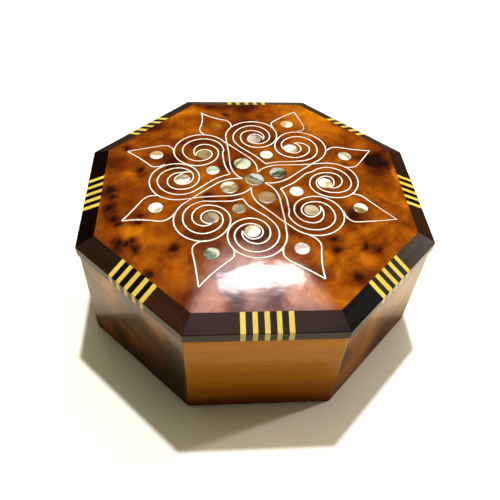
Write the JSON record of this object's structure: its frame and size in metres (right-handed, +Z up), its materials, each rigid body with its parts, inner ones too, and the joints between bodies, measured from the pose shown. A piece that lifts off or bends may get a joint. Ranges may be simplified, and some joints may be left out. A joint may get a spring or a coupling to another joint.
{
  "type": "wooden jewelry box",
  "caption": "Octagonal lidded wooden jewelry box with burl panels, a bevelled dark border with striped blocks, and a wire and mother-of-pearl rosette on the lid.",
  "frame": {"origin": "under the middle of the box, on the surface that it stands on", "axes": "+Z up through the lid, -Y towards the front wall, +X to the right; the flat sides face X and Y"},
  "size_m": [0.15, 0.15, 0.0606],
  "materials": {
    "burl": "reddish-brown burl with small dark eyes, under clear high-gloss lacquer",
    "plain_wood": "yellow-brown wood with fine level grain, under clear high-gloss lacquer",
    "dark_wood": "very dark reddish-brown wood under clear gloss lacquer",
    "striped_inlay": "glued laminations of lemon-yellow wood and black wood under clear gloss lacquer",
    "mother_of_pearl": "polished shell, pearly white to greenish grey",
    "inlay_wire": "bright white metal wire, let in flush"
  },
  "bodies": {
    "root": {"wall_right": "plain_wood", "wall_back_right": "burl", "wall_back": "plain_wood", "wall_back_left": "burl", "wall_left": "plain_wood", "wall_front_left": "burl", "wall_front": "plain_wood", "wall_front_right": "burl", "floor_board": "plain_wood", "lid_panel": "burl", "border_right_a": "dark_wood", "border_right_b": "dark_wood", "stripes_right": "striped_inlay", "border_back_right_a": "dark_wood", "border_back_right_b": "dark_wood", "stripes_back_right": "striped_inlay", "border_back_a": "dark_wood", "border_back_b": "dark_wood", "stripes_back": "striped_inlay", "border_back_left_a": "dark_wood", "border_back_left_b": "dark_wood", "stripes_back_left": "striped_inlay", "border_left_a": "dark_wood", "border_left_b": "dark_wood", "stripes_left": "striped_inlay", "border_front_left_a": "dark_wood", "border_front_left_b": "dark_wood", "stripes_front_left": "striped_inlay", "border_front_a": "dark_wood", "border_front_b": "dark_wood", "stripes_front": "striped_inlay", "border_front_right_a": "dark_wood", "border_front_right_b": "dark_wood", "stripes_front_right": "striped_inlay", "pearl_centre": "mother_of_pearl", "pearl_petal_1": "mother_of_pearl", "pearl_petal_2": "mother_of_pearl", "pearl_petal_3": "mother_of_pearl", "pearl_petal_4": "mother_of_pearl", "pearl_heart_1": "mother_of_pearl", "pearl_heart_2": "mother_of_pearl", "pearl_heart_3": "mother_of_pearl", "pearl_heart_4": "mother_of_pearl", "pearl_spiral_1": "mother_of_pearl", "pearl_spiral_2": "mother_of_pearl", "pearl_spiral_3": "mother_of_pearl", "pearl_spiral_4": "mother_of_pearl", "pearl_spiral_5": "mother_of_pearl", "pearl_spiral_6": "mother_of_pearl", "pearl_spiral_7": "mother_of_pearl", "pearl_spiral_8": "mother_of_pearl", "pearl_leaf_1": "mother_of_pearl", "pearl_leaf_2": "mother_of_pearl", "pearl_leaf_3": "mother_of_pearl", "pearl_leaf_4": "mother_of_pearl", "pearl_leaf_5": "mother_of_pearl", "pearl_leaf_6": "mother_of_pearl", "pearl_leaf_7": "mother_of_pearl", "pearl_leaf_8": "mother_of_pearl"}
  },
  "joints": []
}
